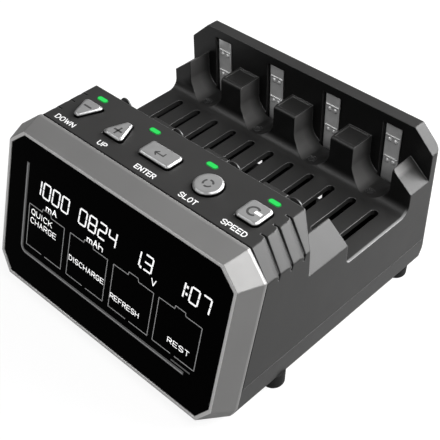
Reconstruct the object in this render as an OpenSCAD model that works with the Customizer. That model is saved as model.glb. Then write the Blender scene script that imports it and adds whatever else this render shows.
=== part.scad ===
/* [Body] */
// Width across the sides of the case
body_w = 102.6; // [102:0.1:130]
// Depth from the front lip to the back
body_d = 99.5; // [99:0.1:125]
// Height of the control hood above the table
body_h = 57.2; // [54:0.1:72]
// Thickness of the moulded walls
wall = 2; // [1.6:0.1:2.4]
// Width of the long chamfer beside the hood top
chamfer_w = 7.5; // [5:0.1:9]
// Height of that chamfer
chamfer_h = 7.1; // [5:0.1:9]
// Radius of the upright rear corners
corner_r = 2.4; // [1:0.1:4]
// Bevels along the top edges of the rear wall
rear_bevel = 0.6; // [0.3:0.1:1]
// Height of the underside above the table
under_h = 5.8; // [4:0.1:8]
// Height of the parting line above the table
parting_h = 15.3; // [13:0.1:17]
// Draft of the base below the parting line
base_draft = 1.2; // [0.5:0.1:2]

/* [Display face] */
// Lean of the display face from upright
face_tilt = 15.3; // [8:0.1:20]
// Depth of the bezel behind its front lip
bezel_depth = 7.8; // [6:0.1:9]
// How much the bezel narrows at each side of its front lip
bezel_flare = 3.2; // [1:0.1:4]
// Width of the front lip round the window
lip_w = 1; // [0.6:0.1:2]
// Corner chamfer of the front lip, sideways
lip_corner_w = 6.3; // [4:0.1:8]
// Corner chamfer of the front lip, along the slope
lip_corner_h = 5.3; // [4:0.1:7]
// Thickness of the display window
window_t = 1.2; // [0.8:0.1:1.6]
// How far the window sits behind the lip
window_drop = 0.3; // [0.2:0.1:0.8]
// Width of the LCD glass
lcd_w = 86; // [80:0.5:88]
// Height of the LCD glass
lcd_h = 39; // [34:0.5:40]
// Thickness of the LCD glass
lcd_t = 2.6; // [2:0.1:3]
// Middle of the LCD along the slope
lcd_mid = 27.6; // [26:0.1:29]

/* [Battery bays] */
// Distance from bay to bay
bay_pitch = 24.1; // [24:0.1:26]
// Clear width of a bay between its dividers
bay_clear = 15; // [14.8:0.1:15.3]
// Length of the long cell
cell_l = 50.5; // [50:0.1:50.6]
// Length of the short cell
short_cell_l = 44.5; // [44:0.1:45]
// Radius of the thick cell
cell_r = 7.25; // [7:0.05:7.25]
// Height of the tray floor above the table
floor_h = 32.9; // [31:0.1:36]
// Radius of the rounded bottom corners of a bay
bay_corner_r = 6.5; // [3:0.1:7]
// Rise of a bay's bottom above the tray floor
bay_rise = 0.4; // [0.2:0.1:1]
// Height of the dividers above the table
divider_h = 46.6; // [44:0.1:50]
// Height of the side wall where its facet starts
facet_h = 40.4; // [38:0.1:42]
// Thickness of the rear wall at the contact strips
rear_wall_t = 4.4; // [4:0.1:5]
// Length of the rear dividers
divider_l = 9.3; // [8:0.1:11]
// Length of the front stubs
stub_l = 11.1; // [9:0.1:12]
// Rounding along the front top edge of the rear dividers
divider_round = 1.3; // [0.6:0.1:2]
// Radius of the concave foot of the rear dividers
rear_foot_r = 3.8; // [2:0.1:4]
// Radius of the concave foot of the front stubs
front_foot_r = 2; // [1:0.1:3]
// Number of vent slots in the tray floor
vent_count = 11; // [9:2:11]
// Distance from slot to slot
vent_pitch = 8.64; // [7:0.01:8.7]
// Width of a vent slot
vent_w = 2.8; // [2:0.1:3.2]
// Rear end of the vent slots behind the middle
vent_rear_y = 30.9; // [28:0.1:31.4]
// Length of the vent slots
vent_l = 20.5; // [12:0.1:20.8]

/* [Contacts] */
// Width of the plated strips
strip_w = 5.7; // [5:0.1:6]
// Thickness of the plated strips
strip_t = 0.5; // [0.4:0.1:0.6]
// How far a dimple stands off its strip
dimple_h = 0.5; // [0.3:0.05:0.6]
// Height of the lower pair of dimples above the table
low_contact_h = 39.8; // [39:0.1:41]
// Height of the upper pair of dimples above the table
high_contact_h = 48; // [47:0.1:49]
// Travel of the sprung front contacts
contact_travel = 1.2; // [0.8:0.1:1.3]
// Radius of the round probe in each bay
probe_r = 1.3; // [1:0.05:1.5]

/* [Keys and lights] */
// How far the keys stand above the hood
key_proud = 1.3; // [0.8:0.1:2]
// Travel of the keys
key_travel = 0.5; // [0.3:0.05:0.7]
// Gap between a key and its hole
key_gap = 0.35; // [0.15:0.05:0.4]
// Middle of the row of keys, before the hood's rear edge
key_row = 11.4; // [10:0.1:12]
// Middle of the row of lights, before the hood's rear edge
light_row = 3.9; // [3.5:0.1:4.5]
// Length of a light lens
light_l = 4.2; // [3:0.1:5]
// Width of a light lens
light_w = 1.8; // [1.2:0.1:2.4]
// Distance between the side grooves
groove_pitch = 5.1; // [4:0.1:5.4]
// Width of a side groove
groove_w = 0.6; // [0.4:0.1:1]
// Lean of the side grooves from upright
groove_lean = 21; // [10:0.5:24]

/* [Boards and inlet] */
// Thickness of the circuit boards
board_t = 1.6; // [1.2:0.1:2]
// Height of the main board's underside above the table
board_h = 12; // [11.5:0.1:13]
// Radius of the inlet socket's nose
inlet_r = 4; // [3.5:0.1:4.5]
// Radius of a foot
foot_r = 3.9; // [3:0.1:4.5]

/* [Hidden] */

case_black = [0.22, 0.22, 0.22];
bezel_grey = [0.58, 0.59, 0.58];
key_silver = [0.7, 0.7, 0.69];
window_black = [0.02, 0.02, 0.02];
plated = [0.8, 0.8, 0.8];
board_green = [0.08, 0.3, 0.16];
rubber_black = [0.06, 0.06, 0.06];
light_green = [0.15, 0.85, 0.3];

half_w = body_w / 2;
lip_low = 0.3;
front_y = lip_low * sin(face_tilt) - body_d / 2;
back_y = body_d / 2;
top_half_w = half_w - chamfer_w;
shoulder_h = body_h - chamfer_h;
far = 200;
seam_gap = 0.5;
fit_gap = 0.2;
parting_gap = 0.2;
snug = 0.05;

bay_count = 4;
bay_half = bay_clear / 2;
bay_back_y = back_y - rear_wall_t;
bay_gap = 0.2;
hood_back_y = bay_back_y - cell_l - bay_gap;
tray_half = 1.5 * bay_pitch + bay_half;
divider_front_y = bay_back_y - divider_l;
stub_end_y = hood_back_y + stub_l;
hood_corner_cut = 6.2;
bevel_cut = 3;

function bay_x(i) = (i - 1.5) * bay_pitch;
function face_y(h, back) = front_y + back / cos(face_tilt) + (h - under_h) * tan(face_tilt);
function slope_v(h) = bezel_depth * tan(face_tilt) + (h - under_h) / cos(face_tilt);
function round_corner(a, p, b, r, n) =
    let (u = (a - p) / norm(a - p), v = (b - p) / norm(b - p),
         half = acos(u * v) / 2, d = r / tan(half),
         c = p + (u + v) / norm(u + v) * r / sin(half),
         s = p + u * d - c, e = p + v * d - c,
         a0 = atan2(s.y, s.x), turn = (atan2(e.y, e.x) - a0 + 540) % 360 - 180)
    [for (i = [0:n]) c + r * [cos(a0 + turn * i / n), sin(a0 + turn * i / n)]];
function rounded(pts, radii, n = 4) =
    let (m = len(pts))
    [for (i = [0:m - 1])
        each (radii[i] > 0
            ? round_corner(pts[(i + m - 1) % m], pts[i], pts[(i + 1) % m], radii[i], n)
            : [pts[i]])];

// Profiles drawn in X and Z, extruded along Y between two depths
module along_y(y0, y1) {
    translate([0, y1, 0]) rotate([90, 0, 0]) linear_extrude(height = y1 - y0) children();
}

// Profiles drawn in Y and Z, extruded along X between two sides
module along_x(x0, x1) {
    translate([x0, 0, 0]) rotate([90, 0, 90]) linear_extrude(height = x1 - x0) children();
}

// Profiles drawn in X and Y, extruded upwards between two heights
module upwards(z0, z1) {
    translate([0, 0, z0]) linear_extrude(height = z1 - z0) children();
}

// The display face's own frame: X sideways, Y up the slope, Z out of the face
module on_face(out = 0) {
    translate([0, front_y, under_h]) rotate([90 - face_tilt, 0, 0]) translate([0, 0, out]) children();
}

// Everything in front of a plane parallel to the display face
module before_face(depth) {
    on_face(-depth) translate([-far / 2, -far / 2, 0]) cube([far, far, far]);
}

module pill(l, w) {
    square([l - w, w], center = true);
    for (s = [-1, 1]) translate([s * (l - w) / 2, 0]) circle(d = w, $fn = 32);
}

module rounded_square(size, r) {
    square([size.x - 2 * r, size.y], center = true);
    square([size.x, size.y - 2 * r], center = true);
    for (sx = [-1, 1], sy = [-1, 1])
        translate([sx * (size.x / 2 - r), sy * (size.y / 2 - r)]) circle(r = r, $fn = 32);
}

// Cross-section of the hood and the rear wall, seen from the front
edge_r = 0.9;
module case_section(inset = 0, low = 0) {
    w = half_w - inset;
    t = top_half_w - inset * tan(atan2(chamfer_h, chamfer_w) / 2);
    s = shoulder_h - inset * tan(atan2(chamfer_w, chamfer_h) / 2);
    top = body_h - inset;
    pts = [[-w, low], [w, low], [w, s], [t, top], [-t, top], [-w, s]];
    r = edge_r;
    polygon(rounded(pts, inset > 0 ? [0, 0, 0, 0, 0, 0] : [0, 0, r, r, r, r], 4));
}

// Cross-section through the side walls with their long outer facets
module wall_section(inset = 0, low = 0) {
    w = half_w - inset;
    d = inset * 1.2;
    polygon([[-w, low], [w, low], [w, facet_h - d], [tray_half, divider_h - d],
        [-tray_half, divider_h - d], [-w, facet_h - d]]);
}

// Plan outline with rounded rear corners
module plan(inset = 0) {
    w = half_w - inset;
    b = back_y - inset;
    r = corner_r;
    polygon(rounded([[-w, front_y - 1], [w, front_y - 1], [w, b], [-w, b]], [0, 0, r, r], 5));
}

// Side view of a row of dividers: the block and the concave foot on its open side
module divider_side(y_wall, y_open, foot_r, edge) {
    dir = sign(y_open - y_wall);
    low = floor_h - 1;
    polygon(rounded([[y_wall, low], [y_open, low], [y_open, divider_h], [y_wall, divider_h]], [0, 0, edge, 0], 5));
    difference() {
        translate([min(y_open, y_open + dir * foot_r), low]) square([foot_r, foot_r + 1]);
        translate([y_open + dir * foot_r, floor_h + foot_r]) circle(r = foot_r, $fn = 48);
    }
}

// One bay in cross-section, open at the top
module bay_section() {
    r = bay_corner_r;
    for (s = [-1, 1]) translate([s * (bay_half - r), r]) circle(r = r, $fn = 48);
    translate([r - bay_half, 0]) square([bay_clear - 2 * r, far]);
    translate([-bay_half, r]) square([bay_clear, far]);
}

// Side walls and dividers in cross-section, with the four bays taken out
module cradle_section() {
    difference() {
        wall_section(0, floor_h - 1);
        for (i = [0:bay_count - 1]) translate([bay_x(i), floor_h + bay_rise]) bay_section();
    }
}

module divider_row(y_wall, y_open, foot_r, edge) {
    intersection() {
        along_y(min(y_wall, y_open - foot_r), max(y_wall, y_open + foot_r)) cradle_section();
        along_x(-half_w, half_w) divider_side(y_wall, y_open, foot_r, edge);
    }
}

groove_depth = 0.7;
groove_run = 2.1;
groove_start = 5.5;
module groove_half() {
    x0 = top_half_w - groove_run;
    z1 = -chamfer_h - groove_run;
    polygon([[x0, 1], [half_w + 1, 1], [half_w + 1, z1], [half_w - groove_depth, z1],
        [half_w - groove_depth, -chamfer_h - 0.3], [top_half_w - 0.3, -groove_depth], [x0, -groove_depth]]);
}

module side_grooves() {
    for (i = [0:2], m = [0, 1])
        translate([0, hood_back_y - groove_start - groove_pitch * i - groove_w / 2, body_h])
            rotate([-groove_lean, 0, 0]) mirror([m, 0, 0]) along_y(0, groove_w) groove_half();
}

// A slanting facet runs down the hood's chamfer in front of each groove
facet_w = 1.8;
facet_depth = 0.35;
module rib_facets() {
    drop = chamfer_h * tan(groove_lean);
    run = norm([chamfer_w, chamfer_h]);
    for (i = [0:2], m = [0, 1]) mirror([m, 0, 0])
        translate([top_half_w, hood_back_y - groove_start - groove_pitch * i, body_h])
            rotate([0, atan2(chamfer_h, chamfer_w), 0]) rotate([0, 0, -atan2(drop, run)])
                along_x(-1, run + 1.5) polygon([[0, -facet_depth], [0, 1], [-facet_w, 1], [-facet_w, 0]]);
}

contact_window_w = strip_w + 1.3;
strip_slot_w = strip_w + 2;
strip_front_y = bay_back_y + 0.6;
strip_back_y = strip_front_y + strip_t;
strip_top_h = high_contact_h + 5.4;
window_sill_h = floor_h + 0.5;
step_h = floor_h + bay_rise + cell_r * 2 + 0.1;
probe_y = divider_front_y + 0.6;
probe_well_r = 1.55;
probe_dish = 0.3;
inlet_x = bay_pitch;
inlet_h = board_h + board_t + 6.5;
case_screw_spots = [[-41, 40], [41, 40], [-41, -1], [41, -1]];
boss_r = 3;
pilot_r = 1.1;
light_y = hood_back_y - light_row;
key_y = hood_back_y - key_row;
key_board_spots = [[-27, -23.6], [27, -23.6], [-24, -10.6], [24, -10.6]];
key_board_h = body_h - wall - 7.5;

module key_shape(kind, grow = 0) {
    r = 1.1 + grow;
    if (kind == 0) triangle_key(grow, -1);
    if (kind == 1) triangle_key(grow, 1);
    if (kind == 2) rounded_square([12.6 + 2 * grow, 6.6 + 2 * grow], r);
    if (kind == 3) circle(r = 4.5 + grow, $fn = 64);
    if (kind == 4) rounded_square([8 + 2 * grow, 8 + 2 * grow], r + 0.4);
}

key_x = [-35.3, -19.1, -1.7, 17.9, 35.4];
triangle_half_w = 4.3;
triangle_half_h = 3.9;
module triangle_key(grow, dir) {
    w = triangle_half_w + grow * 1.6;
    h = triangle_half_h + grow;
    tip = 1;
    polygon(rounded([[-w, -dir * h], [w, -dir * h], [tip, dir * (h + 0.2)], [-tip, dir * (h + 0.2)]],
        [1, 1, 0.8, 0.8], 4));
}

// The hood's two rear corners, cut off in plan
module hood_corners(inset) {
    turn = atan2(hood_corner_cut, chamfer_w);
    for (m = [0, 1]) mirror([m, 0, 0]) translate([-inset * sin(turn), -inset * cos(turn)])
        polygon([[top_half_w - chamfer_w, hood_back_y + hood_corner_cut], [half_w + 2 * chamfer_w, hood_back_y + far],
            [half_w + chamfer_w, hood_back_y - 2 * hood_corner_cut]]);
}

// Upper case: hood, tray, side walls, dividers and rear wall in one moulding
stub_round = 0.6;
module case_outside() {
    intersection() {
        union() {
            difference() {
                along_y(front_y, hood_back_y) case_section(0, parting_h);
                upwards(floor_h, far) hood_corners(0);
            }
            along_y(front_y, back_y) translate([-half_w, parting_h]) square([body_w, floor_h - parting_h]);
            along_y(bay_back_y, back_y) case_section(0, parting_h);
            divider_row(hood_back_y, stub_end_y, front_foot_r, stub_round);
            divider_row(bay_back_y, divider_front_y, rear_foot_r, divider_round);
            for (m = [0, 1]) mirror([m, 0, 0]) along_y(hood_back_y - hood_corner_cut - 1, hood_back_y + 1)
                intersection() {
                    wall_section(0, floor_h - 1);
                    translate([tray_half, 0]) square([far, far]);
                }
        }
        upwards(0, far) plan();
    }
}

divider_core_w = bay_pitch - bay_clear - 2 * wall;
module case_hollow() {
    skin_h = floor_h - wall;
    along_y(front_y - 1, back_y - wall)
        polygon([[-half_w + wall, 0], [half_w - wall, 0], [half_w - wall, skin_h], [-half_w + wall, skin_h]]);
    difference() {
        along_y(front_y - 1, hood_back_y - wall) case_section(wall, 0);
        upwards(skin_h, far) hood_corners(wall);
    }
    for (m = [0, 1]) mirror([m, 0, 0]) {
        side_core(hood_back_y - wall / 2, stub_end_y - wall);
        side_core(divider_front_y + wall, bay_back_y - 1);
    }
    for (i = [1:3]) translate([(i - 2) * bay_pitch, 0, 0]) {
        along_y(hood_back_y - 2 * wall, stub_end_y - wall) core_section();
        along_y(divider_front_y + wall, bay_back_y - 1) core_section();
    }
}

module core_section() {
    translate([-divider_core_w / 2, skin_low]) square([divider_core_w, divider_h - wall - skin_low]);
}

skin_low = floor_h - wall - 1;
module side_core(y0, y1) {
    x0 = tray_half + wall;
    x1 = half_w - wall;
    drop = (divider_h - facet_h) / (half_w - tray_half);
    top0 = divider_h - drop * wall - wall * 1.3;
    along_y(y0, y1) polygon([[x0, skin_low], [x1, skin_low], [x1, top0 - drop * (x1 - x0)], [x0, top0]]);
}

module vents() {
    y0 = vent_rear_y - vent_l / 2;
    for (i = [0:vent_count - 1])
        translate([(i - (vent_count - 1) / 2) * vent_pitch, y0, floor_h - 2 * wall])
            linear_extrude(height = 3 * wall) rotate(90) pill(vent_l, vent_w);
}

module divider_top_cut() {
    rim = 0.7;
    w = bay_pitch - bay_clear - 2 * rim;
    for (i = [1:3]) translate([(i - 2) * bay_pitch, 0, 0])
        along_y(divider_front_y + divider_round, bay_back_y - rim)
            translate([-w / 2, divider_h - 0.3]) square([w, 1]);
}

module bay_fittings() {
    for (i = [0:bay_count - 1]) translate([bay_x(i), 0, 0]) {
        along_y(bay_back_y - 1, strip_back_y)
            translate([-strip_slot_w / 2, skin_low]) square([strip_slot_w, strip_top_h + 0.6 - skin_low]);
        along_y(hood_back_y - wall - 1, hood_back_y + 1)
            translate([-contact_window_w / 2, window_sill_h])
                square([contact_window_w, step_h + leaf_t + 0.4 - window_sill_h]);
        translate([0, probe_y, floor_h - 0.2]) cylinder(r = probe_well_r, h = wall, $fn = 48);
        translate([0, probe_y, skin_low]) cylinder(r = probe_r + snug, h = 2 * wall, $fn = 48);
    }
}

module upper_case() {
    color(case_black) {
        difference() {
            case_outside();
            before_face(bezel_depth + seam_gap);
            case_hollow();
            vents();
            divider_top_cut();
            bay_fittings();
            side_grooves();
            rib_facets();
            translate([0, back_y - rear_bevel, body_h]) rotate([45, 0, 0])
                translate([-far / 2, 0, 0]) cube([far, bevel_cut, bevel_cut]);
            translate([0, bay_back_y + rear_bevel, body_h]) rotate([-45, 0, 0])
                translate([-far / 2, -bevel_cut, 0]) cube([far, bevel_cut, bevel_cut]);
            for (k = [0:4]) translate([key_x[k], key_y, body_h - wall - 1])
                linear_extrude(height = wall + 2) key_shape(k, key_gap);
            for (i = [0:bay_count - 1]) translate([bay_x(i), light_y, body_h - wall - 1])
                linear_extrude(height = wall + 2) pill(light_l + 2 * snug, light_w + 2 * snug);
            translate([inlet_x, back_y + 1, inlet_h]) rotate([90, 0, 0])
                cylinder(r = inlet_r + fit_gap, h = wall + 2, $fn = 64);
        }
        for (p = case_screw_spots) translate([p.x, p.y, parting_h + fit_gap]) case_boss();
        for (p = key_board_spots) translate([p.x, p.y, key_board_h + board_t]) key_post();
    }
}

module case_boss() {
    h = floor_h - wall - parting_h - fit_gap + 0.5;
    difference() {
        cylinder(r = boss_r, h = h, $fn = 48);
        translate([0, 0, -1]) cylinder(r = pilot_r, h = h - 2, $fn = 32);
    }
}

module key_post() {
    h = body_h - wall - key_board_h - board_t + 0.5;
    difference() {
        cylinder(r = 2.1, h = h, $fn = 48);
        translate([0, 0, -1]) cylinder(r = 0.8, h = 5, $fn = 32);
    }
}

// Base shell below the parting line
module base_outside(inset) {
    low_w = half_w - base_draft - inset;
    top_w = half_w - inset;
    rear = back_y - inset;
    top = parting_h - parting_gap;
    intersection() {
        along_y(front_y - 1, back_y)
            polygon([[-low_w, under_h], [low_w, under_h], [top_w, top], [-top_w, top]]);
        along_x(-far / 2, far / 2)
            polygon([[front_y - 1, under_h], [rear - base_draft, under_h], [rear, top], [front_y - 1, top]]);
        upwards(0, far) plan(inset);
    }
}

main_board_spots = [[-31, -26], [31, -26], [-31, 33], [31, 33]];
feet = [[-46.9, -20.3], [46.9, -20.3], [-45.7, 42.4], [45.7, 42.4]];
peg_r = 1.5;
screw_recess_h = 3.2;
base_vent_w = 2;
base_vent_l = 22;
module base_shell() {
    color(case_black) difference() {
        union() {
            difference() {
                base_outside(0);
                translate([0, 0, wall]) base_outside(wall);
                translate([0, 0, 2 * wall + 2]) base_outside(wall);
            }
            for (p = case_screw_spots) translate([p.x, p.y, under_h + 1])
                cylinder(r = boss_r + 0.6, h = parting_h - under_h - 1, $fn = 48);
            for (p = main_board_spots) translate([p.x, p.y, under_h + 1])
                cylinder(r = boss_r, h = board_h - under_h - 1, $fn = 48);
        }
        before_face(bezel_depth + seam_gap);
        for (p = case_screw_spots) translate([p.x, p.y, under_h - 1]) {
            cylinder(r = 2.9, h = screw_recess_h + 1, $fn = 48);
            cylinder(r = 1.6, h = far, $fn = 32);
        }
        for (p = main_board_spots) translate([p.x, p.y, under_h + wall])
            cylinder(r = pilot_r, h = far, $fn = 32);
        for (p = feet) translate([p.x, p.y, 0]) cylinder(r = peg_r + snug, h = far / 10, $fn = 32);
        for (i = [-4:4]) translate([i * 6, 4, under_h - 1])
            linear_extrude(height = wall + 2) rotate(90) pill(base_vent_l, base_vent_w);
    }
}

// Front bezel: lip outline at the front, body outline at the seam
module lip_outline(inset) {
    w = half_w - bezel_flare + 0.3 - inset;
    top = lip_top_v - inset;
    low = inset - lip_low;
    cw = lip_corner_w - 0.41 * inset;
    ch = lip_corner_h - 0.41 * inset;
    fw = 4.8 - 0.41 * inset;
    fh = 6.2 - 0.41 * inset;
    polygon([[-w + fw, low], [w - fw, low], [w, low + fh], [w, top - ch],
        [w - cw, top], [-w + cw, top], [-w, top - ch], [-w, low + fh]]);
}

lip_top_v = slope_v(body_h) - bezel_depth * tan(face_tilt) - 1;
rim_proud = 0.3;
module rim_outline(inset) {
    w = half_w + rim_proud - inset;
    top = slope_v(body_h) + rim_proud - inset;
    low = bezel_depth * tan(face_tilt) + 0.5 + inset;
    cw = chamfer_w + rim_proud - 0.41 * inset;
    ch = cw * lip_corner_h / lip_corner_w;
    fw = base_draft + 0.1;
    fh = 3.1;
    polygon([[-w + fw, low], [w - fw, low], [w, low + fh], [w, top - ch],
        [w - cw, top], [-w + cw, top], [-w, top - ch], [-w, low + fh]]);
}

slice = 0.02;
module bezel_outside() {
    hull() {
        translate([0, 0, -slice]) linear_extrude(height = slice) lip_outline(0);
        translate([0, 0, -bezel_depth + 1]) linear_extrude(height = slice) rim_outline(0);
    }
    translate([0, 0, -bezel_depth]) linear_extrude(height = 1 + slice) rim_outline(0);
}

window_back = window_drop + window_t;
shelf_t = 1.6;
shelf_w = 2.4;
spigot_l = 3;
module bezel_inside() {
    hull() {
        translate([0, 0, -window_back - shelf_t]) linear_extrude(height = slice) lip_outline(wall + 0.4);
        translate([0, 0, -bezel_depth - 0.1]) linear_extrude(height = slice) rim_outline(wall + 0.6);
    }
}

module spigot_outline(inset) {
    w = half_w - wall - fit_gap - inset;
    top = slope_v(body_h) - wall - fit_gap - 0.6 - inset;
    low = under_h - 0.2 + inset;
    c = chamfer_w + 0.5 - 0.41 * inset;
    step = base_draft;
    polygon([[-w + step, low], [w - step, low], [w, low + parting_h - under_h], [w, top - c], [w - c, top],
        [-w + c, top], [-w, top - c], [-w, low + parting_h - under_h]]);
}

module front_bezel() {
    color(bezel_grey) on_face() {
        difference() {
            bezel_outside();
            translate([0, 0, -window_back]) linear_extrude(height = far) lip_outline(lip_w);
            translate([0, 0, -far / 2]) linear_extrude(height = far) lip_outline(lip_w + shelf_w);
            bezel_inside();
        }
        translate([0, 0, -bezel_depth - spigot_l]) linear_extrude(height = spigot_l + 1.2) difference() {
            spigot_outline(0);
            spigot_outline(1.3);
        }
    }
}

module display_window() {
    color(window_black) on_face(-window_back)
        linear_extrude(height = window_t) lip_outline(lip_w + 0.1);
}

module lcd_panel() {
    color([0.05, 0.06, 0.07]) on_face(-window_back - shelf_t - lcd_t)
        translate([-lcd_w / 2, lcd_mid - lcd_h / 2, 0]) cube([lcd_w, lcd_h, lcd_t]);
}

holder_t = 3;
holder_grip = 1.4;
module lcd_holder() {
    color([0.85, 0.85, 0.83]) on_face(-window_back - shelf_t - lcd_t - holder_t) difference() {
        translate([-lcd_w / 2 - 1, lcd_mid - lcd_h / 2 - 1, 0]) cube([lcd_w + 2, lcd_h + 2, holder_t + holder_grip]);
        translate([-lcd_w / 2 - snug, lcd_mid - lcd_h / 2 - snug, holder_t]) cube([lcd_w + 2 * snug, lcd_h + 2 * snug, far]);
    }
}

// Circuit boards and what stands on them
main_board_half = 36.5;
main_board_front = -31;
main_board_back = 45.8;
module main_board() {
    color(board_green) translate([0, 0, board_h]) linear_extrude(height = board_t) difference() {
        translate([-main_board_half, main_board_front])
            square([2 * main_board_half, main_board_back - main_board_front]);
        for (p = main_board_spots) translate(p) circle(r = 1.3, $fn = 32);
    }
}

board_top = board_h + board_t;
module board_screws() {
    color(plated) for (p = main_board_spots) translate([p.x, p.y, board_top]) {
        cylinder(r = 2.1, h = 1.4, $fn = 32);
        translate([0, 0, -5]) cylinder(r = pilot_r - snug, h = 5.5, $fn = 32);
    }
}

module key_board_screws() {
    color(plated) for (p = key_board_spots) translate([p.x, p.y, key_board_h]) {
        translate([0, 0, -1.2]) cylinder(r = 1.7, h = 1.2, $fn = 32);
        cylinder(r = 0.75, h = board_t + 3, $fn = 32);
    }
}

module case_screws() {
    color(plated) for (p = case_screw_spots) translate([p.x, p.y, under_h + screw_recess_h]) {
        translate([0, 0, -1.8]) cylinder(r = 2.6, h = 1.8, $fn = 32);
        cylinder(r = pilot_r - snug, h = 16, $fn = 32);
    }
}

key_board_depth = 17.2;
module key_board() {
    color(board_green) translate([0, 0, key_board_h]) linear_extrude(height = board_t) difference() {
        translate([-41, hood_back_y - wall - 0.6 - key_board_depth]) square([82, key_board_depth]);
        for (p = key_board_spots) translate(p) circle(r = 0.9, $fn = 32);
    }
}

switch_h = 3.4;
switch_w = 6;
plunger_r = 1.6;
plunger_bottom = key_board_h + board_t + 1.2;
key_flange_t = 0.9;
key_seat_h = body_h - wall - 0.1;
key_stem_low = key_board_h + board_t + switch_h + 0.7;
module key_switches() {
    color([0.12, 0.12, 0.13]) for (k = [0:4]) translate([key_x[k], key_y, key_board_h + board_t]) difference() {
        translate([-switch_w / 2, -switch_w / 2, 0]) cube([switch_w, switch_w, switch_h]);
        translate([0, 0, 0.6]) cylinder(r = plunger_r + 0.08, h = switch_h, $fn = 48);
    }
}

module plunger(k) {
    color([0.6, 0.5, 0.3]) translate([key_x[k], key_y, plunger_bottom])
        cylinder(r = plunger_r, h = key_stem_low - plunger_bottom, $fn = 48);
}

// Keys: a crowned cap, a flange under the hood and a stem on the switch
module key(k) {
    cap_top = body_h + key_proud;
    edge = 0.35;
    color(key_silver) translate([key_x[k], key_y, 0]) {
        translate([0, 0, key_seat_h - key_flange_t]) linear_extrude(height = cap_top - edge - key_seat_h + key_flange_t)
            key_shape(k, 0);
        translate([0, 0, cap_top - edge - slice]) linear_extrude(height = edge + slice) key_shape(k, -edge);
        translate([0, 0, key_seat_h - key_flange_t]) linear_extrude(height = key_flange_t) key_shape(k, 0.8);
        translate([0, 0, key_stem_low]) cylinder(r = 1.9, h = key_seat_h - key_stem_low, $fn = 48);
    }
}

lens_low = key_board_h + board_t + 1.2;
module light_lens(i) {
    color(light_green) translate([bay_x(i), light_y, 0]) {
        translate([0, 0, lens_low]) linear_extrude(height = body_h + 0.15 - lens_low) pill(light_l, light_w);
        translate([0, 0, body_h - wall - 0.8]) linear_extrude(height = 0.75) pill(light_l + 1.6, light_w + 0.6);
    }
}

module light_chips() {
    color([0.9, 0.9, 0.8]) for (i = [0:bay_count - 1])
        translate([bay_x(i) - 1, light_y - 0.6, key_board_h + board_t]) cube([2, 1.2, 0.9]);
}

// Contacts
module dimple_pair(h) {
    for (s = [-1, 1]) translate([s * 1.15, 0, h]) rotate([90, 0, 0]) dimple();
}

dimple_r = 0.85;
module dimple() {
    ball = (dimple_r * dimple_r + dimple_h * dimple_h) / (2 * dimple_h);
    intersection() {
        translate([0, 0, dimple_h - ball]) sphere(r = ball, $fn = 32);
        translate([0, 0, -0.1]) cylinder(r = dimple_r + 0.2, h = 1, $fn = 32);
    }
}

module rear_contact(i) {
    color(plated) translate([bay_x(i), strip_front_y, 0]) {
        translate([-strip_w / 2, 0, skin_low - 1]) cube([strip_w, strip_t, strip_top_h - skin_low + 1]);
        translate([-1.5, 0, board_h]) cube([3, strip_t, skin_low - board_h]);
        dimple_pair(low_contact_h);
        dimple_pair(high_contact_h);
        for (h = [low_contact_h, high_contact_h]) translate([-strip_w / 2 + 0.3, 0, h + 1.5])
            rotate([0, 90, 0]) cylinder(r = 0.3, h = strip_w - 0.6, $fn = 24);
    }
}

leaf_t = 0.4;
roll_r = 0.3;
tongue_r = 2.45;
tongue_back = 1.1;
tongue_top = high_contact_h + 5;
low_leaf_y = bay_back_y + 0.1 - cell_l + contact_travel - 0.4 - dimple_h;
high_leaf_y = low_leaf_y + cell_l - short_cell_l;
module front_contact(i) {
    y0 = low_leaf_y - leaf_t;
    y1 = high_leaf_y - leaf_t;
    sill = window_sill_h + 0.3;
    fold = 2.4;
    color(plated) translate([bay_x(i), 0, 0]) {
        translate([-strip_w / 2, 0, 0]) along_x(0, strip_w)
            polygon([[y0 - fold, sill], [y0 + leaf_t, sill], [y0 + leaf_t, step_h], [y1 + leaf_t, step_h],
                [y1 + leaf_t, step_h + leaf_t], [y0, step_h + leaf_t], [y0, sill + leaf_t], [y0 - fold, sill + leaf_t]]);
        along_y(y1 - tongue_back, y1 - tongue_back + leaf_t) translate([0, tongue_top - tongue_r]) {
            circle(r = tongue_r, $fn = 48);
            translate([-tongue_r, step_h + leaf_t / 2 - tongue_top + tongue_r])
                square([2 * tongue_r, tongue_top - tongue_r - step_h - leaf_t / 2]);
        }
        translate([0, low_leaf_y, low_contact_h]) rotate([-90, 0, 0]) dimple();
        translate([-strip_w / 2, y1 + leaf_t - roll_r / 2, step_h + roll_r]) rotate([0, 90, 0])
            cylinder(r = roll_r, h = strip_w, $fn = 32);
    }
}

module probe(i) {
    tip = floor_h + bay_rise + 0.1;
    color(plated) translate([bay_x(i), probe_y, 0]) {
        difference() {
            translate([0, 0, skin_low - 2]) cylinder(r = probe_r, h = tip - skin_low + 2, $fn = 48);
            translate([0, 0, tip - probe_dish]) cylinder(r = probe_r * 0.6, h = 1, $fn = 32);
        }
        translate([0, 0, skin_low - 0.8]) cylinder(r = probe_r + 0.7, h = 0.8, $fn = 48);
    }
}

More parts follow.
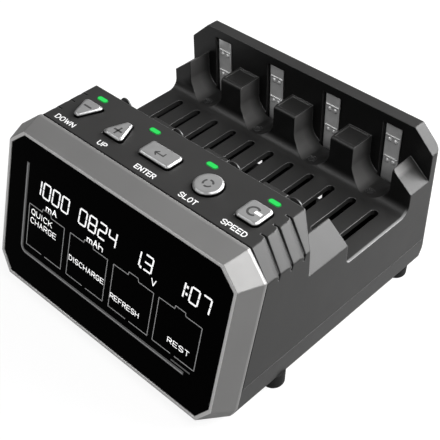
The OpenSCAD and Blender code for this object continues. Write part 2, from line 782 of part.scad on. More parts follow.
// Inlet socket with its centre pin
inlet_body = [9, 13.6, 11];
module inlet_socket() {
    back = back_y - wall - 0.5;
    color([0.1, 0.1, 0.1]) {
        difference() {
            union() {
                translate([inlet_x - inlet_body.x / 2, back - inlet_body.y, board_top]) cube(inlet_body);
                translate([inlet_x, back_y - 0.2, inlet_h]) rotate([90, 0, 0])
                    cylinder(r = inlet_r, h = wall + 1, $fn = 64);
            }
            translate([inlet_x, back_y + 1, inlet_h]) rotate([90, 0, 0]) cylinder(r = 2.8, h = 11, $fn = 48);
        }
        translate([inlet_x, back_y - 1.2, inlet_h]) rotate([90, 0, 0]) cylinder(r = 1, h = 10, $fn = 32);
    }
}

coil_spots = [[-30, 14], [-10, 14], [10, 14], [30, 14]];
module inductors() {
    color([0.2, 0.2, 0.22]) for (p = coil_spots) translate([p.x, p.y, board_top]) difference() {
        translate([-4.5, -4.5, 0]) cube([9, 9, 4.2]);
        translate([0, 0, 3.4]) cylinder(r = 3, h = 2, $fn = 32);
    }
}

capacitor_spots = [[-28, -14], [-17, -14], [28, -14], [12, 34]];
module capacitors() {
    color([0.15, 0.17, 0.3]) for (p = capacitor_spots) translate([p.x, p.y, board_top]) {
        cylinder(r = 4, h = 10, $fn = 48);
        cylinder(r = 4.3, h = 0.8, $fn = 48);
    }
}

module controller_chips() {
    color([0.05, 0.05, 0.05]) {
        translate([-5, -10, board_top]) cube([10, 10, 1.4]);
        translate([-24, 0, board_top]) cube([5, 4, 1.4]);
        translate([18, 0, board_top]) cube([5, 4, 1.4]);
    }
}

module foot(k) {
    top = under_h + wall + 1;
    color(rubber_black) translate([feet[k].x, feet[k].y, 0]) rotate_extrude($fn = 64)
        polygon(rounded([[0, 0], [foot_r - 0.2, 0], [foot_r, under_h], [peg_r, under_h], [peg_r, top], [0, top]],
            [0, 0.9, 0, 0, 0, 0], 5));
}

upper_case();
base_shell();
front_bezel();
display_window();
lcd_panel();
lcd_holder();
main_board();
key_board();
key_switches();
light_chips();
key(0);  // key_down
key(1);  // key_up
key(2);  // key_enter
key(3);  // key_slot
key(4);  // key_rate
plunger(0);  // plunger_down
plunger(1);  // plunger_up
plunger(2);  // plunger_enter
plunger(3);  // plunger_slot
plunger(4);  // plunger_rate
light_lens(0);  // light_lens_1
light_lens(1);  // light_lens_2
light_lens(2);  // light_lens_3
light_lens(3);  // light_lens_4
rear_contact(0);  // rear_contact_1
rear_contact(1);  // rear_contact_2
rear_contact(2);  // rear_contact_3
rear_contact(3);  // rear_contact_4
front_contact(0);  // front_contact_1
front_contact(1);  // front_contact_2
front_contact(2);  // front_contact_3
front_contact(3);  // front_contact_4
probe(0);  // probe_1
probe(1);  // probe_2
probe(2);  // probe_3
probe(3);  // probe_4
inlet_socket();
inductors();
capacitors();
controller_chips();
foot(0);  // foot_front_left
foot(1);  // foot_front_right
foot(2);  // foot_rear_left
foot(3);  // foot_rear_right
case_screws();
board_screws();
key_board_screws();
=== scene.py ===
from math import atan2, cos, radians, sin

import bmesh
import bpy
from mathutils import Matrix, Vector


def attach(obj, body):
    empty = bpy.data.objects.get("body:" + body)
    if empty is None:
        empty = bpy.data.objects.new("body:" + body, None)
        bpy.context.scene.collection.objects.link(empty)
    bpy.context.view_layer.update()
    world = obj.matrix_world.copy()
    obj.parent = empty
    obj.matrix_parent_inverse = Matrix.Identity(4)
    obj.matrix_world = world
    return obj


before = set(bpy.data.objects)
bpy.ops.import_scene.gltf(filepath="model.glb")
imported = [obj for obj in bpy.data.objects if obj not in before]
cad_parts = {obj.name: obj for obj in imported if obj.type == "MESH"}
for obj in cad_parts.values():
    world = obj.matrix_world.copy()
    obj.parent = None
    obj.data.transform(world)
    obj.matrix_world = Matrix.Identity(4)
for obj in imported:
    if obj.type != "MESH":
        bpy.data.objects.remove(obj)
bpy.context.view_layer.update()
mm = 0.001

# ---- where things are on the charger, in millimetres
case_depth = 99.5
half_width = 51.3
hood_top = 57.2
key_top = 58.5
key_row_y = -16.85
label_row_y = -24.35
tray_edge = 32.9
parting_line = 15.3
board_top = 14.6
key_names = ("down", "up", "enter", "slot", "rate")
key_middles = (-35.3, -19.1, -1.7, 17.9, 35.4)

# The display face: its lean, the foot of its plane, how far the window sits in it, and the bezel behind it
face_lean = radians(15.3)
face_foot_h = 5.8
lip_low = 0.3
face_foot_y = lip_low * sin(face_lean) - case_depth / 2
glass_sink = 0.3
bezel_depth = 7.8

# Where painted light lies on the fronts of the rear cradles: from their open end to where they turn dark, and
# across all four bays
cradle_open_y = 35
cradle_dark_y = 40.5
cradles_left = -46.5
cradles_right = 45.5

# Directions on the charger
across = (1, 0, 0)
to_rear = (0, 1, 0)
to_front = (0, -1, 0)
up = (0, 0, 1)
face_out = (0, -cos(face_lean), sin(face_lean))
face_plane = face_foot_h * sin(face_lean) - face_foot_y * cos(face_lean)
bezel_back = face_plane - bezel_depth

# A point on the display face: across, up the slope, out of the face
face_turn = Matrix((
    (1, 0, 0, 0),
    (0, sin(face_lean), -cos(face_lean), face_foot_y * mm),
    (0, cos(face_lean), sin(face_lean), face_foot_h * mm),
    (0, 0, 0, 1)))


def above_glass(height):
    return face_turn @ Matrix.Translation((0, 0, (height - glass_sink) * mm))


# ---- material building; a level is a grey as the screen shows it, 0 to 255
def grey(level):
    v = level / 255
    return ((v + 0.055) / 1.055) ** 2.4 if v > 0.04045 else v / 12.92


def shade(level, warm=0.0):
    g = grey(level)
    return (g * (1 + warm), g, g * (1 - warm), 1)


class Wiring:
    """Adds nodes to one tree and links them"""

    def __init__(self, tree):
        self.tree = tree

    def node(self, kind, **values):
        made = self.tree.nodes.new(kind)
        for key, value in values.items():
            setattr(made, key, value)
        return made

    def wire(self, source, target):
        self.tree.links.new(source, target)

    def join(self, operation, one, other):
        """Sum, product or the like of two sockets, or of a socket and a number"""
        made = self.node("ShaderNodeMath", operation=operation)
        self.wire(one, made.inputs[0])
        if isinstance(other, float):
            made.inputs[1].default_value = other
        else:
            self.wire(other, made.inputs[1])
        return made.outputs["Value"]

    def spread(self, source, given, wanted):
        """Stretches a value from one range to another, and holds it there"""
        made = self.node("ShaderNodeMapRange")
        made.inputs["From Min"].default_value, made.inputs["From Max"].default_value = given
        made.inputs["To Min"].default_value, made.inputs["To Max"].default_value = wanted
        self.wire(source, made.inputs["Value"])
        return made.outputs["Result"]


class Finish(Wiring):
    """One material, its shader and what drives it"""

    def __init__(self, name, colour, rough, metal=0.0, gloss=0.5):
        self.material = bpy.data.materials.new(name)
        self.material.use_nodes = True
        super().__init__(self.material.node_tree)
        self.shader = self.tree.nodes["Principled BSDF"]
        self.put("Base Color", colour)
        self.put("Roughness", rough)
        self.put("Metallic", metal)
        self.put("Specular IOR Level", gloss)
        self.normal = None

    def put(self, socket, value):
        self.shader.inputs[socket].default_value = value

    def drive(self, socket, source):
        self.wire(source, self.shader.inputs[socket])

    def driven(self, socket):
        return self.shader.inputs[socket].links[0].from_socket

    def place(self):
        return self.node("ShaderNodeTexCoord").outputs["Object"]

    def grain(self, scale, detail=2.0, stretch=None):
        noise = self.node("ShaderNodeTexNoise")
        noise.inputs["Scale"].default_value = scale
        noise.inputs["Detail"].default_value = detail
        source = self.place()
        if stretch:
            mapping = self.node("ShaderNodeMapping")
            mapping.inputs["Scale"].default_value = stretch
            self.wire(source, mapping.inputs["Vector"])
            source = mapping.outputs["Vector"]
        self.wire(source, noise.inputs["Vector"])
        return noise.outputs["Fac"]

    def mottle(self, colour_a, colour_b, scale):
        """Two close tones in soft patches"""
        ramp = self.node("ShaderNodeValToRGB")
        for stop, position, colour in zip(ramp.color_ramp.elements, (0.35, 0.65), (colour_a, colour_b)):
            stop.position = position
            stop.color = colour
        self.wire(self.grain(scale), ramp.inputs["Fac"])
        self.drive("Base Color", ramp.outputs["Color"])

    def rounded_normal(self, radius):
        edge = self.node("ShaderNodeBevel", samples=16)
        edge.inputs["Radius"].default_value = radius * mm
        return edge.outputs["Normal"]

    def soften(self, radius):
        """Edges that catch light as if rounded"""
        self.normal = self.rounded_normal(radius)
        self.drive("Normal", self.normal)

    def pebble(self, scale, height, stretch=None):
        """The fine relief of a moulded or plated face"""
        bump = self.node("ShaderNodeBump")
        bump.inputs["Strength"].default_value = 1.0
        bump.inputs["Distance"].default_value = height * mm
        self.wire(self.grain(scale, 1.0, stretch), bump.inputs["Height"])
        self.wire(self.normal, bump.inputs["Normal"])
        self.drive("Normal", bump.outputs["Normal"])

    def vary_rough(self, low, high, scale, stretch=None):
        self.drive("Roughness", self.spread(self.grain(scale, 2.0, stretch), (0, 1), (low, high)))

    def along(self, source, direction):
        made = self.node("ShaderNodeVectorMath", operation="DOT_PRODUCT")
        self.wire(source, made.inputs[0])
        made.inputs[1].default_value = direction
        return made.outputs["Value"]

    def times(self, one, other):
        return self.join("MULTIPLY", one, other)

    def edge_share(self, radius):
        """1 along edges and 0 on open faces"""
        flat = self.node("ShaderNodeNewGeometry")
        turn = self.node("ShaderNodeVectorMath", operation="DOT_PRODUCT")
        self.wire(self.rounded_normal(radius), turn.inputs[0])
        self.wire(flat.outputs["Normal"], turn.inputs[1])
        return self.spread(turn.outputs["Value"], (0.99, 0.85), (0, 1))

    def between(self, direction, low, high, blur):
        """1 from low to high along a direction in mm, and 0 outside"""
        way = self.along(self.place(), direction)
        rise = self.spread(way, ((low - blur) * mm, low * mm), (0, 1))
        fall = self.spread(way, (high * mm, (high + blur) * mm), (1, 0))
        return self.times(rise, fall)

    def facing(self, direction, none, full):
        """1 on the faces that look one way"""
        outward = self.node("ShaderNodeTexCoord").outputs["Normal"]
        return self.spread(self.along(outward, direction), (none, full), (0, 1))

    def tint(self, share, tone):
        """Mixes the base colour towards a tone by a share"""
        mix = self.node("ShaderNodeMix", data_type="RGBA")
        self.wire(share, mix.inputs["Factor"])
        self.wire(self.driven("Base Color"), mix.inputs["A"])
        mix.inputs["B"].default_value = tone
        self.drive("Base Color", mix.outputs["Result"])

    def paint_seam_shadow(self, share):
        """Painted shadow: black and fully rough, so no light comes back, as out of a deep seam"""
        self.tint(share, (0, 0, 0, 1))
        self.drive("Roughness", self.join("MAXIMUM", self.driven("Roughness"), share))

    def paint_edge_highlight(self, radius, tone, polish=1.0):
        """Painted highlight along edges: a lighter tone, with less roughness"""
        share = self.edge_share(radius)
        self.tint(share, tone)
        self.drive("Roughness", self.times(self.driven("Roughness"), self.spread(share, (0, 1), (1, polish))))

    def paint_shade_below(self, low, high, tone):
        """Painted shade: a darker foot, where a piece sinks into its hole"""
        height = self.along(self.place(), up)
        self.tint(self.spread(height, (low * mm, high * mm), (1, 0)), tone)


def charcoal_case():
    look = Finish("charcoal_case", shade(48, 0.015), 0.4)
    look.mottle(shade(46, 0.015), shade(50, 0.015), 60)
    look.soften(0.5)
    look.pebble(5200, 0.006)
    look.vary_rough(0.37, 0.43, 240)
    # painted highlight: the case's edges tinted lighter
    look.paint_edge_highlight(0.3, shade(105), 0.5)
    # painted highlight: a light line along the tray's open side edge, where its rounding would catch the light
    tray_edge_highlight = look.times(look.between(across, half_width - 0.6, half_width, 0.5),
                           look.between(up, tray_edge - 1, tray_edge + 1.5, 2))
    look.tint(look.times(tray_edge_highlight, look.facing(up, 0.3, 0.8)), shade(150))
    # painted light: the fronts of the rear cradles tinted lighter on faces that look right and up
    cradle_painted_light = look.times(look.between(to_rear, cradle_open_y, cradle_dark_y, 4),
                               look.between(across, cradles_left, cradles_right, 1))
    look.tint(look.times(cradle_painted_light, look.facing((0.8, 0, 0.6), 0.62, 0.88)), shade(104, 0.015))
    # painted shade: the parting line darkened, the faces that look forward darkened, and the seam behind the
    # bezel painted black
    look.tint(look.between(up, parting_line - 0.25, parting_line + 0.4, 0.1), shade(16))
    look.tint(look.facing(to_front, 0.8, 0.97), shade(10))
    look.paint_seam_shadow(look.between(face_out, bezel_back - 0.85, bezel_back + 0.1, 0.1))
    return look.material


def satin_bezel():
    look = Finish("satin_bezel", shade(146, 0.01), 0.36, metal=0.4)
    look.mottle(shade(144, 0.01), shade(149, 0.01), 45)
    look.soften(0.6)
    look.pebble(7000, 0.003)
    look.vary_rough(0.34, 0.42, 300)
    # painted highlight: the bezel's edges tinted lighter
    look.paint_edge_highlight(0.4, shade(215, 0.01), 0.6)
    # painted highlight: the lip around the window, tinted lighter on faces that look straight out
    look.tint(look.facing(face_out, 0.98, 0.995), shade(240, 0.01))
    return look.material


def black_window():
    look = Finish("black_window", (0.0002, 0.0002, 0.0002, 1), 0.12, gloss=0.01)
    look.vary_rough(0.1, 0.14, 90)
    return look.material


def silver_key():
    look = Finish("silver_key", shade(176), 0.32, metal=0.55)
    look.mottle(shade(173), shade(179), 300)
    look.soften(0.9)
    look.vary_rough(0.29, 0.35, 500)
    # painted highlight: the key edges tinted lighter
    look.paint_edge_highlight(0.5, shade(220))
    # painted shade on the key's sides, where they sink into the hood
    look.paint_shade_below(hood_top + 0.55, hood_top + 0.75, shade(8))
    return look.material


def plated_strip():
    drawn_streaks = (1, 1, 0.15)
    drawn_relief = (1, 1, 0.2)
    look = Finish("plated_strip", shade(236), 0.2, metal=0.45)
    look.mottle(shade(228), shade(242), 260)
    look.soften(0.15)
    look.vary_rough(0.16, 0.3, 500, drawn_streaks)
    # painted highlight: the ridges and dimples tinted white
    look.paint_edge_highlight(0.35, shade(255))
    look.pebble(2500, 0.004, drawn_relief)
    return look.material


def spring_strip():
    look = Finish("spring_strip", shade(95), 0.5, metal=0.6)
    look.mottle(shade(88), shade(102), 300)
    look.vary_rough(0.36, 0.48, 500)
    return look.material


def probe_metal():
    look = Finish("probe_metal", shade(84), 0.34, metal=0.5)
    look.mottle(shade(76), shade(92), 900)
    look.soften(0.25)
    look.vary_rough(0.28, 0.4, 900)
    return look.material


def green_light():
    """A lit lens, brighter in its middle than along its edge"""
    look = Finish("green_light", (0.005, 0.16, 0.03, 1), 0.3, gloss=0.3)
    look.vary_rough(0.26, 0.34, 900)
    look.put("Emission Color", (0.022, 0.58, 0.085, 1))
    look.drive("Emission Strength", look.spread(look.edge_share(0.6), (0, 1), (1.0, 0.1)))
    return look.material


def plain(name, level, rough, scale=400, metal=0.0):
    look = Finish(name, shade(level), rough, metal, gloss=0.4)
    look.mottle(shade(level * 0.94), shade(level * 1.05), scale)
    look.vary_rough(rough * 0.9, rough * 1.1, scale)
    return look.material


# A print that gives off light of its own by emission
def lit_ink(name, level, strength):
    look = Finish(name, shade(level), 0.5, gloss=0.1)
    look.put("Emission Color", (1, 1, 1, 1))
    look.put("Emission Strength", strength)
    look.mottle(shade(level * 0.97), shade(level), 700)
    return look.material


case_finish = charcoal_case()
bezel_finish = satin_bezel()
window_finish = black_window()
key_finish = silver_key()
strip_finish = plated_strip()
light_finish = green_light()
board_finish = plain("solder_mask", 16, 0.5)
dark_part = plain("dark_moulding", 12, 0.6)
rubber_finish = plain("foot_rubber", 30, 0.8, 900)
screw_finish = plain("screw_steel", 120, 0.35, 800, 1.0)
holder_finish = plain("light_guide", 200, 0.4)
lcd_finish = plain("lcd_glass", 12, 0.2)
spring_finish = spring_strip()
probe_finish = probe_metal()
# painted glow: the printed key labels and tick give off light of their own
glowing_print = lit_ink("glowing_print", 235, 0.25)
lcd_white = lit_ink("lcd_white", 235, 0.75)
lcd_line = lit_ink("lcd_line", 150, 0.12)
glass_edge = lit_ink("glass_edge", 96, 0.04)
# painted glow: the board parts give off light so they show in the dark
board_white = lit_ink("board_white", 235, 0.9)
engraving = plain("key_engraving", 70, 0.6, 900)

node_finishes = {
    "upper_case": case_finish, "base_shell": case_finish, "front_bezel": bezel_finish,
    "display_window": window_finish, "lcd_panel": lcd_finish, "lcd_holder": holder_finish,
    "main_board": board_finish, "key_board": board_finish, "key_switches": dark_part,
    "light_chips": holder_finish, "inlet_socket": dark_part, "inductors": dark_part,
    "capacitors": dark_part, "controller_chips": dark_part, "case_screws": screw_finish,
    "board_screws": screw_finish, "key_board_screws": screw_finish}
family_finishes = {
    "plunger": dark_part, "light_lens": light_finish, "rear_contact": strip_finish,
    "front_contact": spring_finish, "probe": probe_finish, "foot": rubber_finish}
for key in key_names:
    node_finishes["key_" + key] = key_finish
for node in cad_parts:
    for family, finish in family_finishes.items():
        if node.startswith(family):
            node_finishes[node] = finish


def dress(piece, finish):
    piece.data.materials.clear()
    piece.data.materials.append(finish)


for node, finish in node_finishes.items():
    dress(bpy.data.objects[node], finish)


# ---- new pieces
def finish_piece(name, bm, finish, body="housing"):
    bmesh.ops.recalc_face_normals(bm, faces=bm.faces)
    mesh = bpy.data.meshes.new(name)
    bm.to_mesh(mesh)
    bm.free()
    piece = bpy.data.objects.new(name, mesh)
    bpy.context.scene.collection.objects.link(piece)
    dress(piece, finish)
    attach(piece, body)


def to_metres(bm, matrix):
    bmesh.ops.scale(bm, vec=(mm, mm, mm), verts=bm.verts)
    bm.transform(matrix)


def block(bm, middle, size):
    made = bmesh.ops.create_cube(bm, size=1.0)["verts"]
    bmesh.ops.scale(bm, vec=size, verts=made)
    bmesh.ops.translate(bm, vec=middle, verts=made)


def bar(bm, start, end, width, thick, extra=0.0):
    """A straight stroke between two points of a flat print, its back at z 0"""
    start, end = Vector(start), Vector(end)
    run = end - start
    middle = (start + end) / 2
    made = bmesh.ops.create_cube(bm, size=1.0)["verts"]
    bmesh.ops.scale(bm, vec=(run.length + extra, width, thick), verts=made)
    turn = Matrix.Rotation(atan2(run.y, run.x), 3, "Z")
    bmesh.ops.rotate(bm, cent=(0, 0, 0), matrix=turn, verts=made)
    bmesh.ops.translate(bm, vec=(middle.x, middle.y, thick / 2), verts=made)


def arc(bm, centre, radius, start, end, width, thick, steps):
    """A curved stroke, swept as a square section over part of a turn"""
    earlier = set(bm.verts)
    half = width / 2
    corners = ((-half, 0), (half, 0), (half, thick), (-half, thick))
    ring = [bm.verts.new((radius + out, 0, z)) for out, z in corners]
    section = bm.faces.new(ring)
    bmesh.ops.rotate(bm, cent=(0, 0, 0), matrix=Matrix.Rotation(radians(start), 3, "Z"), verts=ring)
    bmesh.ops.spin(bm, geom=[section], cent=(0, 0, 0), axis=up, dvec=(0, 0, 0),
                   angle=radians(end - start), steps=steps, use_merge=False)
    stroke = [v for v in bm.verts if v not in earlier]
    bmesh.ops.translate(bm, vec=(*centre, 0), verts=stroke)


# Letters drawn as strokes, in a box one wide and one high
round_letter = [(0.3, 0), (0, 0.25), (0, 0.75), (0.3, 1), (0.7, 1), (1, 0.75), (1, 0.25), (0.7, 0), (0.3, 0)]
open_bowl = [(0, 0), (0, 1), (0.7, 1), (1, 0.84), (1, 0.62), (0.7, 0.46), (0, 0.46)]
letter_strokes = {
    "A": [[(0, 0), (0.5, 1), (1, 0)], [(0.2, 0.36), (0.8, 0.36)]],
    "C": [[(1, 0.84), (0.7, 1), (0.3, 1), (0, 0.75), (0, 0.25), (0.3, 0), (0.7, 0), (1, 0.16)]],
    "D": [[(0, 0), (0, 1), (0.6, 1), (1, 0.72), (1, 0.28), (0.6, 0), (0, 0)]],
    "E": [[(1, 1), (0, 1), (0, 0), (1, 0)], [(0, 0.5), (0.85, 0.5)]],
    "F": [[(1, 1), (0, 1), (0, 0)], [(0, 0.5), (0.85, 0.5)]],
    "G": [[(1, 0.84), (0.7, 1), (0.3, 1), (0, 0.75), (0, 0.25), (0.3, 0), (0.7, 0), (1, 0.2),
           (1, 0.46), (0.6, 0.46)]],
    "H": [[(0, 0), (0, 1)], [(1, 0), (1, 1)], [(0, 0.5), (1, 0.5)]],
    "I": [[(0.5, 0), (0.5, 1)]],
    "K": [[(0, 0), (0, 1)], [(1, 1), (0, 0.42)], [(0.3, 0.6), (1, 0)]],
    "L": [[(0, 1), (0, 0), (1, 0)]],
    "N": [[(0, 0), (0, 1), (1, 0), (1, 1)]],
    "O": [round_letter],
    "P": [open_bowl],
    "Q": [round_letter, [(0.6, 0.3), (1, -0.04)]],
    "R": [open_bowl, [(0.5, 0.46), (1, 0)]],
    "S": [[(1, 0.84), (0.7, 1), (0.3, 1), (0, 0.84), (0, 0.66), (0.3, 0.53), (0.7, 0.47), (1, 0.34),
           (1, 0.16), (0.7, 0), (0.3, 0), (0, 0.16)]],
    "T": [[(0, 1), (1, 1)], [(0.5, 1), (0.5, 0)]],
    "U": [[(0, 1), (0, 0.25), (0.3, 0), (0.7, 0), (1, 0.25), (1, 1)]],
    "V": [[(0, 1), (0.5, 0), (1, 1)]],
    "W": [[(0, 1), (0.25, 0), (0.5, 0.8), (0.75, 0), (1, 1)]],
    "m": [[(0, 0), (0, 0.62)], [(0, 0.5), (0.25, 0.62), (0.5, 0.5), (0.5, 0)],
          [(0.5, 0.5), (0.75, 0.62), (1, 0.5), (1, 0)]],
    "h": [[(0, 0), (0, 1)], [(0, 0.5), (0.5, 0.62), (1, 0.5), (1, 0)]]}
letter_widths = {"I": 0.25, "W": 1.35, "m": 1.3}
letter_gap = 0.42

# Thickness of a print, and how far its back lies above the glass or the hood
ink = 0.04
film = 0.02
lcd_lift = 0.01
border_lift = 0.004
line_lift = 0.03
label_lift = 0.004


def lettering(bm, word, left, low, height, width, stroke, lean=0.0):
    """A word in strokes, from its left end to its width"""
    parts = [letter_widths.get(letter, 1.0) for letter in word]
    unit = (width - stroke) / (sum(parts) + letter_gap * (len(word) - 1))
    rise = height - stroke
    x = left + stroke / 2
    for letter, part in zip(word, parts):
        for track in letter_strokes[letter]:
            spots = [(x + px * part * unit + lean * py * rise, low + stroke / 2 + py * rise)
                     for px, py in track]
            for start, end in zip(spots, spots[1:]):
                bar(bm, start, end, stroke, ink, stroke * 0.7)
        x += (part + letter_gap) * unit


# Seven-segment figures on the display, their segments lettered from the top round and the middle last
lit_segments = {"0": "abcdef", "1": "bc", "2": "abged", "3": "abgcd", "4": "fgbc", "7": "abc", "8": "abcdefg"}
figure_low = 34.95
figure_width = 3.1
figure_height = 5.1
figure_step = 4.4
figure_stroke = 0.55


def figure(bm, digit, x):
    w, h = figure_width, figure_height
    half = h / 2
    gap, lean = 0.14, 0.09
    lines = {"a": ((gap, h), (w - gap, h)), "b": ((w, h - gap), (w, half + gap)),
             "c": ((w, half - gap), (w, gap)), "d": ((gap, 0), (w - gap, 0)), "e": ((0, half - gap), (0, gap)),
             "f": ((0, h - gap), (0, half + gap)), "g": ((gap, half), (w - gap, half))}
    for segment in lit_segments[digit]:
        start, end = ((x + px + lean * py, figure_low + py) for px, py in lines[segment])
        bar(bm, start, end, figure_stroke, ink)


def point_sign(bm, x):
    block(bm, (x - 0.5, 35.0, ink / 2), (0.8, 0.8, ink))
    return 0.6


def colon_sign(bm, x):
    for low in (36.2, 38.5):
        block(bm, (x - 0.025, low + 0.4, ink / 2), (0.75, 0.8, ink))
    return 1.1


def display_figures():
    bm = bmesh.new()
    for digits, left, sign in (("1000", -35.3, None), ("0824", -13.9, None),
                               ("13", 9.6, point_sign), ("107", 27.4, colon_sign)):
        x = left
        for place, digit in enumerate(digits):
            figure(bm, digit, x)
            x += figure_step
            if sign and place == 0:
                x += sign(bm, x)
    for unit, left, low, height, width in (
            ("mA", -28.9, 31.1, 2.3, 5.2), ("mAh", -9.4, 30.8, 2.4, 7.2), ("V", 18.3, 31.8, 2.3, 2.1)):
        lettering(bm, unit, left, low, height, width, 0.34)
    to_metres(bm, above_glass(lcd_lift))
    finish_piece("display_figures", bm, lcd_white)


def display_words():
    bm = bmesh.new()
    for word, left, low, height, width in (
            ("QUICK", -35.5, 26.5, 2.1, 10.2), ("CHARGE", -35.6, 23.4, 2.1, 12.6),
            ("DISCHARGE", -16.3, 20.4, 1.9, 16.2), ("REFRESH", 3.2, 18.0, 1.9, 12.6),
            ("REST", 27.9, 17.7, 1.9, 8.8)):
        lettering(bm, word, left, low, height, width, 0.23)
    to_metres(bm, above_glass(lcd_lift))
    finish_piece("display_words", bm, lcd_white)


def display_outlines():
    """Four cell outlines, each with its small cap and a gap in its lower line"""
    bm = bmesh.new()
    low, high, cap, stroke = 14.7, 29.75, 30.85, 0.26
    for left in (-36.7, -16.8, 3.0, 22.3):
        right = left + 17.1
        track = [(left, low), (left, high), (left + 6.3, high), (left + 6.5, cap), (left + 10.4, cap),
                 (left + 10.7, high), (right, high), (right, low), (left + 9.2, low)]
        for start, end in zip(track, track[1:]):
            bar(bm, start, end, stroke, ink)
        bar(bm, (left + 7.6, low), (left, low), stroke, ink)
    to_metres(bm, above_glass(lcd_lift))
    finish_piece("display_outlines", bm, lcd_line)


def glass_border():
    """The pale inner edge of the viewing area, left and below, and the bright line on it"""
    left, low, corner = -38.9, 11.4, 2.2
    bend = (left + corner, low + corner)
    width = 1.2
    bm = bmesh.new()
    bar(bm, (left, 43.2), (left, low + corner), width, film)
    arc(bm, bend, corner, 180, 270, width, film, 12)
    bar(bm, (left + corner, low), (35.9, low), width, film)
    bar(bm, (30.5, low + 1.5), (38.2, low + 1.5), 0.5, film)
    to_metres(bm, above_glass(border_lift))
    finish_piece("display_border", bm, glass_edge)
    line, aside = 0.3, 0.2
    bm = bmesh.new()
    bar(bm, (left - aside, 42.8), (left - aside, low + corner), line, film)
    arc(bm, bend, corner + aside, 180, 270, line, film, 12)
    bar(bm, (left + corner, low - aside), (35.6, low - aside), line, film)
    to_metres(bm, above_glass(line_lift))
    finish_piece("display_border_line", bm, lcd_line)


def key_labels():
    bm = bmesh.new()
    for word, left, width in (("DOWN", -40.3, 8.6), ("UP", -20.6, 3.6), ("ENTER", -4.2, 8.3),
                              ("SLOT", 14.1, 6.8), ("SPEED", 30.6, 9.1)):
        lettering(bm, word, left, -1.0, 2.05, width, 0.32, lean=-0.1)
    to_metres(bm, Matrix.Translation((0, label_row_y * mm, (hood_top + label_lift) * mm)))
    finish_piece("key_labels", bm, glowing_print)


# The marks printed on the key tops, each drawn about its key's middle and sunk to a hair above the top
mark_deep = 0.02
mark_base = key_top - 0.016


def minus_mark(bm):
    bar(bm, (-1.7, 0.9), (1.7, 0.9), 0.7, mark_deep)


def plus_mark(bm):
    bar(bm, (-1.7, -0.9), (1.7, -0.9), 0.7, mark_deep)
    bar(bm, (0, -2.6), (0, 0.8), 0.7, mark_deep)


def enter_mark(bm):
    for start, end in (((-1.6, -0.3), (1.8, -0.3)), ((1.6, -0.3), (1.6, 1)),
                       ((-1.8, -0.3), (-0.6, 0.7)), ((-1.8, -0.3), (-0.6, -1.3))):
        bar(bm, start, end, 0.5, mark_deep)


def slot_mark(bm):
    for start in (20, 140, 260):
        arc(bm, (0, 0), 1.5, start, start + 88, 0.65, mark_deep, 10)


def rate_mark(bm):
    arc(bm, (-0.2, 0), 1.7, 40, 320, 0.7, mark_deep, 24)


def rate_tick(bm):
    bar(bm, (0.3, 0.1), (2.7, 0.1), 1.1, mark_deep)


def mark_key(name, mark, key, finish):
    bm = bmesh.new()
    mark(bm)
    middle = key_middles[key_names.index(key)]
    to_metres(bm, Matrix.Translation((middle * mm, key_row_y * mm, mark_base * mm)))
    finish_piece(name, bm, finish, "button_" + key)


def key_marks():
    for key, mark in zip(key_names, (minus_mark, plus_mark, enter_mark, slot_mark, rate_mark)):
        mark_key("key_mark_" + key, mark, key, engraving)
    mark_key("key_mark_rate_tick", rate_tick, "rate", glowing_print)


def board_parts():
    """Two small white parts on the board, seen down through the slots, with a painted glow"""
    bm = bmesh.new()
    for x in (-15.1, 12.9):
        block(bm, (x, 40.9, board_top + 1.2), (1.8, 1.6, 2.4))
    bmesh.ops.bevel(bm, geom=bm.edges[:], offset=0.15, segments=2, profile=0.5, affect="EDGES", material=-1)
    to_metres(bm, Matrix.Identity(4))
    finish_piece("board_white_parts", bm, board_white)


display_figures()
display_words()
board_parts()
display_outlines()
glass_border()
key_labels()
key_marks()


# ---- floor, world, lamps and camera
floor_grey = 0.22
white_in_view = 0.88
white_in_gloss = 0.3
world_fill = 0.02


def pale_floor():
    """A grey floor that keeps the shadow, and shows white to the camera"""
    bm = bmesh.new()
    bmesh.ops.create_grid(bm, x_segments=1, y_segments=1, size=3.0)
    mesh = bpy.data.meshes.new("floor")
    bm.to_mesh(mesh)
    bm.free()
    floor = bpy.data.objects.new("floor", mesh)
    bpy.context.scene.collection.objects.link(floor)
    look = Finish("floor_pale", (floor_grey, floor_grey, floor_grey, 1), 0.9, gloss=0.0)
    path = look.node("ShaderNodeLightPath")
    in_gloss = look.join("MULTIPLY", path.outputs["Is Glossy Ray"], white_in_gloss)
    seen = look.join("MAXIMUM", path.outputs["Is Camera Ray"], in_gloss)
    seen = look.join("MAXIMUM", seen, path.outputs["Is Transmission Ray"])
    glow = look.node("ShaderNodeEmission")
    look.wire(look.join("MULTIPLY", seen, white_in_view), glow.inputs["Strength"])
    both = look.node("ShaderNodeAddShader")
    look.wire(look.shader.outputs["BSDF"], both.inputs[0])
    look.wire(glow.outputs["Emission"], both.inputs[1])
    look.wire(both.outputs["Shader"], look.tree.nodes["Material Output"].inputs["Surface"])
    mesh.materials.append(look.material)


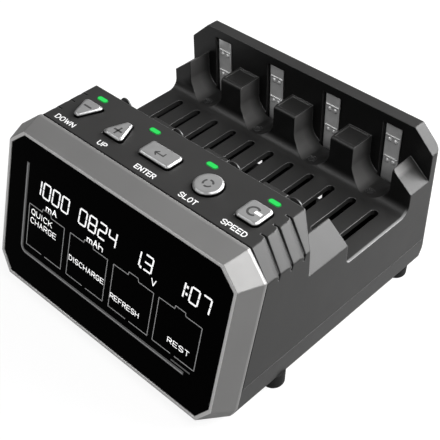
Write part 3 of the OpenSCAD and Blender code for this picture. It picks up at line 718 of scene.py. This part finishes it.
def studio_world():
    """White behind the charger, and nearly dark as a light on it"""
    world = bpy.data.worlds.new("studio")
    bpy.context.scene.world = world
    world.use_nodes = True
    wiring = Wiring(world.node_tree)
    path = wiring.node("ShaderNodeLightPath")
    seen = wiring.join("MAXIMUM", path.outputs["Is Camera Ray"], path.outputs["Is Transmission Ray"])
    back = wiring.tree.nodes["Background"]
    wiring.wire(wiring.spread(seen, (0, 1), (world_fill, 1.0)), back.inputs["Strength"])
    back.inputs["Color"].default_value = (1, 1, 1, 1)


def facing_turn(spot, aim):
    return (aim - spot).to_track_quat("-Z", "Y").to_matrix().to_4x4()


def softbox(name, direction, distance, side, power):
    """A square lamp that looks at the middle of the charger"""
    data = bpy.data.lights.new(name, "AREA")
    data.shape = "RECTANGLE"
    data.size = side
    data.size_y = side
    data.energy = power
    lamp = bpy.data.objects.new(name, data)
    bpy.context.scene.collection.objects.link(lamp)
    aim = Vector((0, 0, 0.03))
    spot = aim + Vector(direction).normalized() * distance
    lamp.matrix_world = Matrix.Translation(spot) @ facing_turn(spot, aim)


def photo_camera():
    data = bpy.data.cameras.new("photo_camera")
    data.lens = 80.15
    data.sensor_width = 36
    data.clip_start = 0.01
    camera = bpy.data.objects.new("photo_camera", data)
    bpy.context.scene.collection.objects.link(camera)
    spot = Vector((169.29, -164.06, 233.24)) * mm
    aim = Vector((11.59, -6.09, 33.80)) * mm
    roll = Matrix.Rotation(radians(-1.11), 4, "Z")
    camera.matrix_world = Matrix.Translation(spot) @ facing_turn(spot, aim) @ roll
    bpy.context.scene.camera = camera


pale_floor()
studio_world()
for name, direction, distance, side, power in (
        ("rear_right_box", (0.66, 0.5, 0.58), 0.4, 0.22, 1.3),
        ("rear_box", (0.25, 0.85, 0.46), 0.6, 0.35, 3.8),
        ("rear_left_box", (-0.6, 0.45, 0.7), 0.55, 0.3, 0.1),
        ("front_left_box", (-0.53, -0.45, 0.7), 0.5, 0.2, 0.36),
        ("front_fill", (0.0, -0.8, 0.6), 0.6, 0.3, 0.5),
        ("top_box", (0.6, -0.15, 0.8), 0.5, 0.2, 0.8)):
    softbox(name, direction, distance, side, power)
photo_camera()
bpy.context.scene.view_settings.view_transform = "Standard"
